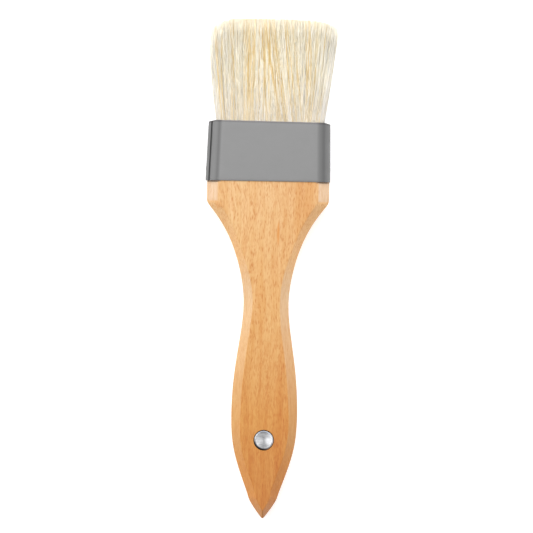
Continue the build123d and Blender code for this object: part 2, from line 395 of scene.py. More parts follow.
def steel_material():
    """Satin steel sheet: even grey with a faint grain round the band, painted reflection along the bends in
    lighter and darker streaks, and painted shade along the rim at the mouth."""
    m = Shader("satin_steel", Metallic=1.0)
    grain = m.noise(m.stretched(30 * MM, 0.15 * MM, 30 * MM), detail=3.0, rough=0.7)
    cloud = m.noise(m.stretched(12 * MM, 9 * MM, 12 * MM), detail=3.0)
    tone = m.tinted(m.ease(cloud, 0.3, 0.75), STEEL_TONE, STEEL_CLOUD_TINT)
    corner = m.attribute("corner")
    sway = m.noise(m.stretched(900 * MM, 14 * MM, 900 * MM), detail=1.0)
    corner = m.math("ADD", corner, m.math("MULTIPLY", corner, m.ease(sway, 0.3, 0.7, -0.02, 0.02)))
    on_right = m.math("GREATER_THAN", m.axis(m.place, "X"), 0.0)
    # painted reflection: lighter and darker stripes across the corners
    corners = m.mix(on_right, m.greys(corner, LEFT_CORNER_REFLECTION), m.greys(corner, RIGHT_CORNER_REFLECTION))
    tone = m.mix(1.0, tone, corners, "MULTIPLY")
    # painted shade: the rim at the mouth darker
    m.link(m.tinted(m.attribute("rim"), tone, STEEL_RIM_SHADE), "Base Color")
    m.link(m.ease(m.math("ADD", grain, cloud), 0.6, 1.4, 0.38, 0.46), "Roughness")
    m.bump(grain, 0.003 * MM, 0.25)
    return m.material


def disc_material():
    """Bright brushed nickel plate, with a painted sheen that fans out from its centre to both sides, and a
    painted reflection on its rounded edge, darkest at the lower left, where it is painted shade."""
    m = Shader("brushed_nickel", Metallic=1.0, Anisotropic=0.7)
    tangent = m.add("ShaderNodeTangent", direction_type="RADIAL", axis="Z")
    m.link(tangent.outputs["Tangent"], "Tangent")
    flat = m.vector("MULTIPLY", m.vector("ADD", m.place, tuple(-c for c in magnet_place)), (1, 1, 0))
    radius = m.vector("LENGTH", flat)
    way = m.vector("NORMALIZE", flat)
    right, up = m.axis(way, "X"), m.axis(way, "Y")

    rings = m.add("ShaderNodeCombineXYZ", {"X": m.math("MULTIPLY", radius, 1 / TURNED_RING)})
    ring = m.noise(rings.outputs["Vector"], detail=2.0)
    smudge = m.noise(m.stretched(1.6 * MM, 1.1 * MM, 1.6 * MM), detail=2.0)
    # painted sheen: brighter towards both sides, most to the right, and towards the top
    sheen = m.math("MULTIPLY", m.math("MULTIPLY", right, right), SHEEN_SIDES)
    sheen = m.math("ADD", sheen, m.math("MULTIPLY", right, SHEEN_RIGHT))
    sheen = m.math("ADD", m.math("MULTIPLY", up, SHEEN_TOP), sheen)
    sheen = m.math("MULTIPLY", sheen, m.ease(radius, 0.1 * MM, 1.7 * MM, 0.25, 1.0))  # faint at the centre
    sheen = m.math("ADD", sheen, m.ease(smudge, 0.3, 0.7, 0.6, 0.4))
    sheen = m.math("ADD", sheen, m.ease(ring, 0.3, 0.7, 0.05, -0.04))
    tone = m.mix(sheen, SHEEN_DARK, SHEEN_BRIGHT)
    # painted reflection on the rounded edge, darkest at the lower left
    edge_reflection_radius = magnet_radius - EDGE_REFLECTION_WIDTH
    edge = m.ease(radius, edge_reflection_radius, edge_reflection_radius + EDGE_REFLECTION_BLEND)
    edge_reflection = m.mix(m.ease(up, 0.4, 0.95), EDGE_REFLECTION, EDGE_REFLECTION_TOP)
    edge_reflection = m.mix(m.ease(m.vector("DOT_PRODUCT", way, LOWER_LEFT), 0.45, 0.95), edge_reflection, EDGE_SHADE_LOWER_LEFT)
    m.link(m.tinted(edge, tone, edge_reflection), "Base Color")
    m.link(m.ease(edge, 0.0, 1.0, 0.32, 0.42), "Roughness")
    m.bump(ring, 0.006 * MM, 0.4)
    return m.material


def pin_material():
    """Bright steel wire with fine scratches."""
    m = Shader("pin_steel", Metallic=1.0)
    scratch = m.noise(m.stretched(0.5 * MM, 0.08 * MM, 0.08 * MM), detail=3.0)
    m.link(m.mix(m.ease(scratch, 0.3, 0.7), srgb(190, 190, 192), srgb(164, 164, 165)), "Base Color")
    m.link(m.ease(scratch, 0.3, 0.7, 0.24, 0.4), "Roughness")
    m.bump(scratch, 0.004 * MM, 0.3)
    return m.material


# ---- bristle, resin, glue and softwood ---------------------------------------
BRISTLE_TONES = [  # from the few dark strands (0) through gold to the palest (1)
    (0.0, srgb(108, 104, 102)), (0.03, srgb(184, 142, 88)), (0.08, srgb(228, 198, 134)),
    (0.25, srgb(240, 221, 170)), (0.55, srgb(247, 238, 212)), (1.0, srgb(254, 251, 242))]
WASHED_GOLD = srgb(243, 230, 198)
STRAND_MOTTLE_TINT = srgb(244, 224, 184)
ROOT_TINT = srgb(244, 242, 244)
# painted shade: the cream that the tips are mixed towards
TIP_SHADE = srgb(243, 236, 218)


def bristle_material():
    """Natural bristle: each strand has its own tone. Gold comes and goes along a strand and fades
    towards the ferrule, where all are a little darker. The tips are painted nearer to one cream, painted
    shade that tones down the brightly lit tips."""
    m = Shader("natural_bristle", Specular_IOR_Level=0.5)
    tone = m.attribute("tone")
    along = m.attribute("along")
    colour = m.ramp(tone, BRISTLE_TONES)
    patch = m.noise(m.stretched(1.6 * MM, 13 * MM, 2 * MM), detail=2.0)
    by_ferrule = m.ease(along, 0.12, 0.55, 0.95, 0.0)
    washed = m.math("MAXIMUM", by_ferrule, m.ease(patch, 0.45, 0.6, 0.0, 0.55))
    washed = m.math("MULTIPLY", washed, m.ease(tone, 0.045, 0.07))  # not the dark strands
    washed = m.math("MULTIPLY", washed, m.ease(tone, 0.2, 0.5, 1.0, 0.0))  # nor the pale ones
    colour = m.mix(washed, colour, m.mix(0.8, colour, WASHED_GOLD))
    mottle = m.noise(m.stretched(0.5 * MM, 5 * MM, 0.5 * MM), detail=2.0)
    colour = m.tinted(m.ease(mottle, 0.4, 0.75, 0.0, 0.3), colour, STRAND_MOTTLE_TINT)
    colour = m.tinted(m.ease(along, 0.05, 0.6, 1.0, 0.0), colour, ROOT_TINT)
    # painted shade: the tips mixed towards one cream
    m.link(m.mix(m.ease(along, 0.86, 1.0, 0.0, 0.5), colour, TIP_SHADE), "Base Color")
    m.link(m.ease(mottle, 0.3, 0.7, 0.38, 0.52), "Roughness")
    return m.material


def cast_material(name, light, dark, period, roughness):
    """A set liquid, glue or resin: cloudy, with small bubbles."""
    m = Shader(name, Specular_IOR_Level=0.5)
    cloud = m.noise(m.stretched(period, period, period), detail=3.0)
    bubbles = m.add("ShaderNodeTexVoronoi", {"Vector": m.stretched(period / 4, period / 4, period / 4)})
    bubble = m.ease(bubbles.outputs["Distance"], 0.05, 0.3, 1.0, 0.0)
    tone = m.mix(m.ease(cloud, 0.3, 0.7), light, dark)
    m.link(m.mix(m.math("MULTIPLY", bubble, 0.3), tone, light), "Base Color")
    m.link(m.ease(cloud, 0.3, 0.7, roughness, roughness + 0.15), "Roughness")
    m.bump(bubble, 0.02 * MM, 0.4)
    return m.material


def spacer_material():
    """Plain sawn softwood."""
    m = Shader("sawn_wood", Roughness=0.7)
    fibres = m.noise(m.stretched(9 * MM, 0.3 * MM, 0.3 * MM), detail=4.0)
    m.link(m.mix(m.ease(fibres, 0.3, 0.7), srgb(222, 190, 142), srgb(196, 158, 106)), "Base Color")
    m.bump(fibres, 0.05 * MM, 0.5)
    return m.material


# ---- handle ------------------------------------------------------------------
WAIST = 2.8 * MM  # half height of the handle's narrow side, between its chamfers
TENON_WAIST = 2.3 * MM
NARROW = 2 * MM  # a half width under this, near the point, shrinks the waist too
NARROW_POWER = 0.3
EDGE_RADIUS = 0.5 * MM
CORNER_REACH = 0.5  # a corner's rounding starts this share of the radius away,
EDGE_LIMIT = 0.4  # or this share of an edge, if that is less
NEAR_CORNER = 0.03  # share of a straight edge
CORNER_STEPS = 4
EDGE_STEPS = (14, 5, 4, 5)  # across the flat face, a chamfer, the narrow side and a chamfer
GAP_WIDTH = 0.55 * MM  # the chamfers stop short of the ferrule
GAP_DEPTH = 2.2 * MM
HAND_SANDED = 0.22 * MM  # how far the chamfers' edges wander
HAND_SANDED_PERIOD = 22 * MM
POINT_FADE = 12 * MM  # they wander less within this of the point
SHOULDER_FADE = 10 * MM  # and within this of the ferrule
FACET_DEPTH = 0.2 * MM  # a point this far below the flat face is wholly on a chamfer
NOSE_STEPS = [0.03 * MM * 1.45**k for k in range(9)]  # rings crowd at the point
RING_STEP = 0.6 * MM
TURN = 0.02 * MM  # half the length of a step in the outline
TURN_ROOM = 0.1 * MM
ALONG_SLOPE = 0.14  # an outline up to this steep follows the grain
ACROSS_SLOPE = 0.32  # and from this on it cuts across it
OFF_SEAM = 0.02 * MM  # rays are cast just beside the middle
FAR = 60 * MM
HOLE_STEPS = 96
HOLE_ROOM = 0.1 * MM  # round the magnet, and over it up to the handle's face
SHARP_WOOD = math.radians(32)


def mesh_tree(node):
    """A CAD node's surface, to cast rays at."""
    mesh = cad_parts[node].data
    points = [v.co for v in mesh.vertices]
    return BVHTree.FromPolygons(points, [p.vertices[:] for p in mesh.polygons])


def handle_sizes(tree, y):
    """Half width, half width of the flat face, and half thickness of the CAD handle at y."""
    inward = Vector((-1, 0, 0))
    back = tree.ray_cast(Vector((OFF_SEAM, y, mid_z - FAR)), Vector((0, 0, 1)))[0]
    half_height = mid_z - back.z
    width = tree.ray_cast(Vector((FAR, y, mid_z)), inward)[0].x
    near_face = mid_z - half_height + 0.05 * MM
    flat = tree.ray_cast(Vector((FAR, y, near_face)), inward)[0]
    return width, min(flat.x if flat else 0.0, width), half_height


def corner_reach(*edges):
    """How far from a corner its rounding starts, between edges like these."""
    return min(EDGE_RADIUS * CORNER_REACH, *(edge.length * EDGE_LIMIT for edge in edges))


def rounded(corners):
    """A closed outline through corners, each rounded, with points along its straight edges too. Those
    next to a rounded corner are close to it, which keeps the flats looking flat."""
    count = len(corners)
    points = []
    for i in range(count):
        before, here, after = corners[i - 1], corners[i], corners[(i + 1) % count]
        to_before, to_after = before - here, after - here
        reach = corner_reach(to_before, to_after)
        start, end = here + to_before.normalized() * reach, here + to_after.normalized() * reach
        for k in range(CORNER_STEPS):
            t = k / CORNER_STEPS
            points.append(start * (1 - t) ** 2 + here * 2 * t * (1 - t) + end * t * t)
        reach_after = corner_reach(to_after, corners[(i + 2) % count] - after)
        edge_end = after - to_after.normalized() * reach_after
        steps = EDGE_STEPS[i % len(EDGE_STEPS)]
        inner = [k / steps for k in range(1, steps)]
        for share in (0.0, NEAR_CORNER, *inner, 1 - NEAR_CORNER):
            points.append(end.lerp(edge_end, share))
    return points


def handle_ring(tree, y):
    """The handle's section at y: its points, how much each of them belongs to a chamfer, and the half
    width there."""
    on_grip = y < tuck_y  # under the ferrule's lip the grip keeps its size from just before it
    width, flat, half_height = handle_sizes(tree, min(y, shoulder_y - 0.1 * MM) if on_grip else y)
    waist = (WAIST if on_grip else TENON_WAIST) * min(1.0, width / NARROW) ** NARROW_POWER
    if shoulder_y - GAP_WIDTH < y < tuck_y:
        flat -= GAP_DEPTH / 2
        waist -= GAP_DEPTH
    free = on_grip * min(1.0, (y - point_y) / POINT_FADE) * min(1.0, max(0.0, shoulder_y - y) / SHOULDER_FADE)
    shift = [free * HAND_SANDED * wander(y, HAND_SANDED_PERIOD, k) for k in range(4)]
    corners = [
        (-flat - shift[0], half_height), (flat + shift[1], half_height), (width, waist), (width, -waist),
        (flat + shift[2], -half_height), (-flat - shift[3], -half_height), (-width, -waist), (-width, waist)]
    section = rounded([Vector(corner) for corner in corners])
    facet = [on_grip * min(1.0, max(0.0, (half_height - abs(p.y)) / FACET_DEPTH)) for p in section]
    return [(p.x, y, mid_z + p.y) for p in section], facet, width


def ring_places():
    """Where the handle's rings lie: close together at the point, and on both sides of every step."""
    body_length = handle_high.y - point_y
    even = np.arange(NOSE_STEPS[-1] + 0.5 * MM, body_length - 0.05 * MM, RING_STEP)
    gap, tuck = shoulder_y - point_y - GAP_WIDTH, tuck_y - point_y
    turns = [gap - TURN, gap + TURN, tuck - TURN, tuck + TURN]
    even = [t for t in even if min(abs(t - turn) for turn in turns) > TURN_ROOM]
    return [point_y + float(t) for t in sorted([*NOSE_STEPS, *even, *turns])]


def make_handle(material):
    """The beech handle, ring by ring, with its magnet hole."""
    tree = mesh_tree("handle")
    places = ring_places()
    rings, facets, widths = zip(*(handle_ring(tree, y) for y in places))
    slope = np.abs(np.gradient(widths, places))
    across = np.clip((slope - ALONG_SLOPE) / (ACROSS_SLOPE - ALONG_SLOPE), 0, 1)
    columns = len(rings[0])
    faces = capped_faces(len(rings), columns)
    handle = make_piece("beech_handle", [p for ring in rings for p in ring], faces, material)
    add_attribute(handle, "facet", np.ravel(facets))
    add_attribute(handle, "across", np.repeat(across, columns))
    outward(handle)
    drill(handle)
    return handle


def circle(radius, z, steps):
    """Points on a level circle round the magnet's axis."""
    angles = [2 * math.pi * k / steps for k in range(steps)]
    return [(magnet_place.x + radius * math.cos(a), magnet_place.y + radius * math.sin(a), z) for a in angles]


def drill(handle):
    """Cut the magnet's blind hole, with a slightly eased edge."""
    face = magnet_high.z + HOLE_ROOM
    hole = magnet_radius + HOLE_ROOM
    profile = [  # up the wall, over its eased edge and out past the face
        (hole, magnet_low.z - 0.25 * MM), (hole, face - 0.12 * MM),
        (hole + 0.14 * MM, face + 0.02 * MM), (hole + 0.5 * MM, face + 0.6 * MM),
    ]
    verts = [point for radius, z in profile for point in circle(radius, z, HOLE_STEPS)]
    cutter = make_piece("magnet_hole", verts, capped_faces(len(profile), HOLE_STEPS))
    outward(cutter)
    apply_modifier(handle, "BOOLEAN", object=cutter, operation="DIFFERENCE", solver="EXACT")
    bpy.data.objects.remove(cutter)
    handle.data.set_sharp_from_angle(angle=SHARP_WOOD)


# ---- ferrule -----------------------------------------------------------------
SHEET = 0.3 * MM
FERRULE_FLAT = 19.8 * MM
FERRULE_SIDE = 2.3 * MM
FERRULE_TAPER = 0.6 * MM
CORNER_PULL = 0.4  # how square the rounded corners are
CORNER_POINTS = 14
FLAT_POINTS = 24
LAP_HEIGHT = 4.5 * MM
LAP_SLIP = 0.03 * MM
LAP_RISE = 10  # points over which the outer layer climbs onto the inner one
MOUTH_TRIM = 0.6 * MM
MOUTH_TRIM_WIDTH = 2.5 * MM
MOUTH_TRIM_POWER = 8  # how closely the trim keeps to the mouth
FERRULE_LEAN = 0.012  # sideways, to the right, for each metre towards the mouth
MOUTH_SLOPE = 0.01  # the mouth is not quite square
END_ROWS = (0.0, 0.12, 0.4, 1.0)  # mm from either end
FIRST_ROW = 2.5  # mm, to the evenly spaced rows
EVEN_ROWS = 12
LIP_TURN = 0.03 * MM  # how far the sheet's ends are turned in
LIP_WIDTH = 0.6  # mm
RIM_SHADE_WIDTH = 0.45  # mm of painted shade along the mouth's rim
SHARP_SHEET = math.radians(40)


def corner_curve(half_width):
    """Points on one rounded corner, from the flat narrow side up to the flat face."""
    side, flat, top = FERRULE_SIDE, FERRULE_FLAT, mid_z
    a = Vector((half_width, side))
    b = Vector((half_width, side + CORNER_PULL * (top - side)))
    c = Vector((flat + CORNER_PULL * (half_width - flat), top))
    d = Vector((flat, top))
    points = []
    for k in range(CORNER_POINTS + 1):
        t = k / CORNER_POINTS
        points.append(a * (1 - t) ** 3 + b * 3 * t * (1 - t) ** 2 + c * 3 * t * t * (1 - t) + d * t**3)
    return points


def ferrule_path():
    """The bent strip's outer line, seen from the mouth's end: from its hidden end on the left, over
    the front, round the right side and the back, and up the left side again to its free edge. Each
    entry is (x, height, how far this layer stands out, how far round a corner it is)."""
    half_width = ferrule_high.x
    corner = corner_curve(half_width)
    bends = [(p.x - FERRULE_FLAT) / (half_width - FERRULE_FLAT) for p in corner]
    flats = [FERRULE_FLAT * (1 - 2 * k / FLAT_POINTS) for k in range(1, FLAT_POINTS)]
    path = [(-half_width, FERRULE_SIDE * h, 0.0, 1.0) for h in (-0.6, -0.2, 0.3, 0.7)]
    path += [(-p.x, p.y, 0.0, b) for p, b in zip(corner, bends)]
    path += [(-x, mid_z, 0.0, 0.0) for x in flats]
    path += [(p.x, p.y, 0.0, b) for p, b in reversed(list(zip(corner, bends)))]
    path += [(half_width, FERRULE_SIDE * h, 0.0, 1.0) for h in (0.6, 0.2, -0.2, -0.6)]
    path += [(p.x, -p.y, 0.0, b) for p, b in zip(corner, bends)]
    path += [(x, -mid_z, 0.0, 0.0) for x in flats]
    rising = [min(1.0, k / LAP_RISE) for k in range(CORNER_POINTS + 1)]
    gap = SHEET + LAP_SLIP
    path += [(-p.x, -p.y, gap * r, b) for p, b, r in zip(reversed(corner), reversed(bends), rising)]
    path += [(-half_width, FERRULE_SIDE * h, gap, 1.0) for h in (-0.6, -0.2, 0.2, 0.6)]
    path += [(-p.x, p.y, gap, b) for p, b in zip(corner, bends) if p.y < LAP_HEIGHT]
    return path


def sheet_line(path, depth):
    """The strip's section, depth metres below its outer face."""
    outer = [Vector((x, h)) for x, h, _, _ in path]
    line = []
    for i, p in enumerate(outer):
        tangent = outer[min(i + 1, len(outer) - 1)] - outer[max(i - 1, 0)]
        normal = Vector((-tangent.y, tangent.x)).normalized()
        line.append(p + normal * (path[i][2] - depth))
    return line


def ferrule_row(section, row, length):
    """The section's points at row mm from the handle's end: tapered and leaning, with the sheet's ends
    turned in and the mouth cut a little shorter at the narrow sides."""
    y = shoulder_y + row * MM
    share = row * MM / length
    taper = FERRULE_TAPER * (y - shoulder_y) / length
    lean = FERRULE_LEAN * (y - shoulder_y)
    lip = LIP_TURN * max(0.0, 1 - min(row, length / MM - row) / LIP_WIDTH) ** 2
    squeeze = 1 - lip / mid_z
    points = []
    for p in section:
        x = p.x - math.copysign(min(taper, abs(p.x)), p.x) * min(1.0, abs(p.x) / FERRULE_FLAT)
        past = max(0.0, abs(x) - (ferrule_high.x - FERRULE_TAPER - MOUTH_TRIM_WIDTH))
        trim = MOUTH_TRIM * past / MOUTH_TRIM_WIDTH * share**MOUTH_TRIM_POWER
        points.append((x + lean, y - trim - x * MOUTH_SLOPE * share, mid_z + p.y * squeeze))
    return points


def make_ferrule(material):
    """One strip of sheet wrapped round the tenon, with both faces, its edges and its lap."""
    path = ferrule_path()
    section = sheet_line(path, 0.0) + sheet_line(path, SHEET)[::-1]
    around = [bend for _, _, _, bend in path]
    length = mouth_y - shoulder_y
    last = length / MM
    even_rows = np.linspace(FIRST_ROW, last - FIRST_ROW, EVEN_ROWS)
    rows = [*END_ROWS, *even_rows, *(last - np.array(END_ROWS[::-1]))]
    columns = len(section)
    verts, bends, rim_shades = [], [], []
    for row in rows:
        verts += ferrule_row(section, row, length)
        bends += around + around[::-1]
        # painted shade on the rows at the mouth's rim
        rim_shades += [1.0 if last - row < RIM_SHADE_WIDTH else 0.0] * columns
    faces = grid_faces(len(rows), columns)
    for first in (0, (len(rows) - 1) * columns):  # the sheet's edge at either end
        for k in range(len(path) - 1):
            a, b = first + k, first + k + 1
            c, d = first + columns - 1 - k - 1, first + columns - 1 - k
            faces.append((a, b, c, d) if first else (d, c, b, a))
    ferrule = make_piece("steel_ferrule", verts, faces, material)
    add_attribute(ferrule, "corner", bends)
    add_attribute(ferrule, "rim", rim_shades)
    outward(ferrule)
    ferrule.data.set_sharp_from_angle(angle=SHARP_SHEET)
    return ferrule


# ---- magnet ------------------------------------------------------------------
DISH = 0.16 * MM  # how far the face is hollowed at its centre
EDGE_WIDTH = 0.75 * MM
EDGE_DEPTH = 0.45 * MM
FINE_STEP = 0.004 * MM  # every other ring of the face is this much lower
FACE_RINGS = 40
EDGE_RINGS = 12
DISC_STEPS = 128


def make_magnet(material):
    """A disc with a dished face that has fine steps, and a soft rounded edge."""
    top, bottom, r = magnet_high.z, magnet_low.z, magnet_radius
    face_radius = r - EDGE_WIDTH
    profile = []
    for k in range(1, FACE_RINGS):
        x = k / FACE_RINGS
        profile.append((face_radius * x, top - DISH * (1 - x * x) - FINE_STEP * (k % 2)))
    for k in range(EDGE_RINGS + 1):
        a = math.pi / 2 * (1 - k / EDGE_RINGS)
        profile.append((face_radius + EDGE_WIDTH * math.cos(a), top - EDGE_DEPTH * (1 - math.sin(a))))
    profile += [(r, bottom + EDGE_DEPTH), (r - EDGE_DEPTH, bottom)]
    verts = [(magnet_place.x, magnet_place.y, top - DISH)]
    verts += [point for radius, z in profile for point in circle(radius, z, DISC_STEPS)]
    faces = [tuple(i + 1 for i in f) for f in grid_faces(len(profile), DISC_STEPS)]
    faces += [(0, 1 + k, 1 + (k + 1) % DISC_STEPS) for k in range(DISC_STEPS)]
    faces.append(tuple(range(len(verts) - DISC_STEPS, len(verts))))
    magnet = make_piece("nickel_magnet", verts, faces, material)
    outward(magnet)
    return magnet


# ---- bristles ----------------------------------------------------------------
STRANDS = 5200  # in each bundle
STRAND_SHARES = np.array([0.0, 0.16, 0.4, 0.66, 0.88, 1.0])  # of a strand's free length, ring by ring
STRAND_SIDES = 3
ROOT_SHARE = 0.05  # what "along" reads where a strand's free length starts
STREAKS = 42  # painted shade: narrow golden streaks, each of a few strands, for the shaded gaps between locks
STREAK_STRANDS = 6
LOCKS = 700  # small groups that lean together
LEANING_LOCKS = 0.4  # the share that lean much
INSIDE_SHARE = 0.35  # strands anywhere in the thickness; the others lie in its outer fifth
EDGE_SHARE = 0.07  # strands in the narrow sides
LOOSE_SHARE = 0.09  # pale strands, loose across the others
DARK_SHARE = 0.005
THICK_SHARE = 0.08
LONG_SHARE = 0.02  # strands that reach past the others
BASE_RADIUS = 0.11 * MM
TAPER = 0.4  # of its radius that a strand loses towards its tip
MOUTH_HALF_WIDTH = 22.0 * MM
MOUTH_HALF_HEIGHT = 5.95 * MM
ROOT_HALF_WIDTH = 21.6 * MM
TIP_HALF_WIDTH = 25.3 * MM
TIP_HALF_HEIGHT = 5.9 * MM
MOUTH_SHIFT = 0.45 * MM  # the tuft stands a little to the right, more so at its tips
TIP_SHIFT = 1.4 * MM
LEFT_CROWN, RIGHT_CROWN = 0.2, 1.5  # mm that the tips fall back towards each side
LEFT_WORN, RIGHT_WORN = 7.5, 2.0  # mm more, on average, at the worn corners
SPACER_HALF = 1.35 * MM
ROOT_GATHER = 0.66  # the roots are closer to the spacer than at the mouth
FREE_START = 0.8 * MM  # strands start to spread this far inside the mouth


def section_height(u):
    """Half thickness of the tuft's section, as a share, at a share of its half width."""
    return (1 - np.abs(u) ** 5) ** 0.4


def smooth(value, low, high):
    """0 below low, 1 above high, and a smooth step between."""
    t = np.clip((value - low) / (high - low), 0, 1)
    return t * t * (3 - 2 * t)


def bump_at(value, centre, width):
    """1 at the centre, falling to 0 on both sides."""
    return np.exp(-(((value - centre) / width) ** 2))


def make_strand_mesh(name, rings, radii, turns, tone, material):
    """Tapered tubes along rows of points. rings has shape (strands, rings, 3)."""
    count, steps, _ = rings.shape
    angle = turns[:, None, None] + 2 * np.pi * np.arange(STRAND_SIDES)[None, None, :] / STRAND_SIDES
    around = np.stack([np.cos(angle), np.zeros_like(angle), np.sin(angle)], axis=-1)
    points = rings[:, :, None, :] + around * radii[:, :, None, None]
    first = np.arange(count)[:, None, None] * steps * STRAND_SIDES
    ring = np.arange(steps - 1)[None, :, None] * STRAND_SIDES
    side = np.arange(STRAND_SIDES)[None, None, :]
    after = (side + 1) % STRAND_SIDES
    a, b = first + ring + side, first + ring + after
    quads = np.stack([a, a + STRAND_SIDES, b + STRAND_SIDES, b], axis=-1).reshape(-1, 4)
    ends = first[:, 0, :] + np.arange(STRAND_SIDES)[None, :]
    top = ends + (steps - 1) * STRAND_SIDES
    faces = quads.tolist() + ends.tolist() + top[:, ::-1].tolist()
    piece = make_piece(name, points.reshape(-1, 3).tolist(), faces, material)
    add_attribute(piece, "tone", np.repeat(tone, steps * STRAND_SIDES))
    share = np.concatenate([[0.0], ROOT_SHARE + (1 - ROOT_SHARE) * STRAND_SHARES])
    add_attribute(piece, "along", np.tile(np.repeat(share, STRAND_SIDES), count))
    lay_out(piece, count, steps, share)
    return piece


def lay_out(piece, count, steps, share):
    """A map with a small square for each strand, so that a baked image keeps each strand's colour."""
    cells = math.ceil(math.sqrt(count))
    column, low, span = 0.25, 0.2, 0.6  # where a strand's sides and rings lie in its square
    loops = np.empty(len(piece.data.loops), np.int64)
    piece.data.loops.foreach_get("vertex_index", loops)
    strand, rest = np.divmod(loops, steps * STRAND_SIDES)
    ring, side = np.divmod(rest, STRAND_SIDES)
    across = column + column * side
    up = low + span * share[ring]
    place = np.stack([(strand % cells + across) / cells, (strand // cells + up) / cells], axis=-1)
    layer = piece.data.uv_layers.new(name="OFBake")
    layer.data.foreach_set("uv", place.astype(np.float32).ravel())


def leans_at(u, sign):
    """How far tips lean to the right on the tuft's outside, in mm. On the front they lean right on the
    left, and left across the flare in the middle and right of it. The back leans less."""
    if sign > 0:
        return 2.2 * bump_at(u, -0.6, 0.25) - 10.0 * bump_at(u, 0.38, 0.4)
    return 3.0 * bump_at(u, -0.3, 0.35) - 2.0 * bump_at(u, 0.55, 0.25)


def scatter():
    """Each strand's place in the section: u is its share of the tuft's half width and v its share of the
    half thickness. Most lie near the outside."""
    n = STRANDS
    u = rng.uniform(-1, 1, n)
    v = np.where(rng.random(n) < INSIDE_SHARE, rng.uniform(0, 1, n), 1 - 0.2 * rng.random(n) ** 1.5)
    at_edge = rng.random(n) < EDGE_SHARE
    u = np.where(at_edge, np.sign(u) * (1 - 0.05 * rng.random(n)), u)
    return u, v


def gather(u, v, sign):
    """Each strand's lean in mm and its tone. Strands gather in small locks that lean together. Painted light
    and
    shade: strands on the outside and at the sides are paler, and deeper ones more golden."""
    n = STRANDS
    lock_u = rng.uniform(-1.02, 1.02, LOCKS)
    lock_v = rng.uniform(0.1, 1.0, LOCKS)
    # A lock is narrow across the tuft and deep through it, and its border is ragged.
    away = (u[:, None] - lock_u[None, :]) ** 2 * 9 + (v[:, None] - lock_v[None, :]) ** 2 * 0.3
    lock = np.argmin(away + rng.uniform(0, 0.004, away.shape), axis=1)
    leaning = np.where(rng.random(LOCKS) < LEANING_LOCKS, 1.0, 0.15) * smooth(lock_v, 0.5, 0.95)
    lock_lean = leans_at(lock_u, sign) * leaning + rng.normal(0, 0.6, LOCKS)
    inner = 1 - smooth(np.abs(u), 0.75, 1.0)
    pull = rng.uniform(0.0, 0.25, LOCKS)[lock] * (lock_u[lock] - u) * TIP_HALF_WIDTH / MM
    lean = (pull + lock_lean[lock]) * inner + rng.normal(0, 1.0, n)
    # painted light and shade: outer strands paler, deeper ones golden
    tone = 0.1 + 0.6 * smooth(v, 0.72, 1.0) + rng.normal(0, 0.1, LOCKS)[lock] + rng.normal(0, 0.16, n)
    # painted light: paler at the sides
    tone += 0.6 * smooth(np.abs(u), 0.65, 1.0)
    return lean, tone


def add_streaks(u, v, lean, tone, sign):
    """Make narrow golden streaks on the outside from the first strands, painted shade for the shaded gaps
    between locks, and give each strand its bow in mm. A streak's strands lean and bow as one."""
    n = STRANDS
    golden = np.arange(n) < STREAKS * STREAK_STRANDS
    group = np.where(golden, np.arange(n) // STREAK_STRANDS, 0)
    streak_u = rng.uniform(-0.93, 0.93, STREAKS)
    streak_lean = leans_at(streak_u, sign) * rng.uniform(0.5, 1.2, STREAKS) + rng.normal(0, 1.5, STREAKS)
    u = np.where(golden, streak_u[group] + rng.normal(0, 0.005, n), u)
    v = np.where(golden, rng.uniform(1.0, 1.05, n), v)
    lean = np.where(golden, streak_lean[group] + rng.normal(0, 0.15, n), lean)
    bow = rng.normal(0, 0.5, n) * (1 - 0.8 * smooth(np.abs(u), 0.8, 1.0))
    bow = np.where(golden, rng.normal(0, 0.5, STREAKS)[group], bow)
    # painted shade: the streaks' strands golden
    tone = np.where(golden, rng.uniform(0.06, 0.18, n), np.clip(tone, 0.12, 1.0))
    return golden, u, v, lean, bow, tone


def loosen(golden, u, v, lean, tone):
    """Lay some pale strands loose across the others, and darken a few."""
    n = STRANDS
    loose = ~golden & (rng.random(n) < LOOSE_SHARE)
    v = np.where(loose, rng.uniform(0.97, 1.05, n), v)
    lean = np.where(loose, rng.normal(-1.2, 2.8, n) * (1 - 0.7 * np.abs(u)), lean)
    tone = np.where(loose, rng.uniform(0.5, 1.0, n), tone)
    dark = rng.random(n) < DARK_SHARE
    tone = np.where(dark, rng.uniform(0.0, 0.04, n), tone)
    return v, lean, tone


def strand_tips(u, v, height, lean):
    """Where each strand ends: x, height from the middle, and y. The tips are uneven, fall back a little
    towards the sides and are worn away at the corners."""
    n = STRANDS
    edge = TIP_HALF_WIDTH + rng.exponential(0.3, n) * MM
    x = np.clip(u * TIP_HALF_WIDTH + lean, -edge, edge) + TIP_SHIFT
    h = height * TIP_HALF_HEIGHT + rng.normal(0, 0.2, n) * MM
    h = np.clip(h, 0.02 * MM, TIP_HALF_HEIGHT + 0.35 * MM)
    across = (x - TIP_SHIFT) / TIP_HALF_WIDTH
    crown = np.where(across < 0, LEFT_CROWN, RIGHT_CROWN) * np.abs(across) ** 3
    worn = np.where(across < 0, LEFT_WORN, RIGHT_WORN) * np.abs(across) ** 9
    crown = crown + worn * rng.uniform(0.4, 1.6, n)
    shortfall = rng.exponential(0.75, n) * (1.5 - 0.6 * v) + crown + 0.4 * (1 - v)
    shortfall = np.where(rng.random(n) < LONG_SHARE, crown - rng.uniform(0, 0.7, n), shortfall)
    return x, h, tips_y - (shortfall - 0.5) * MM


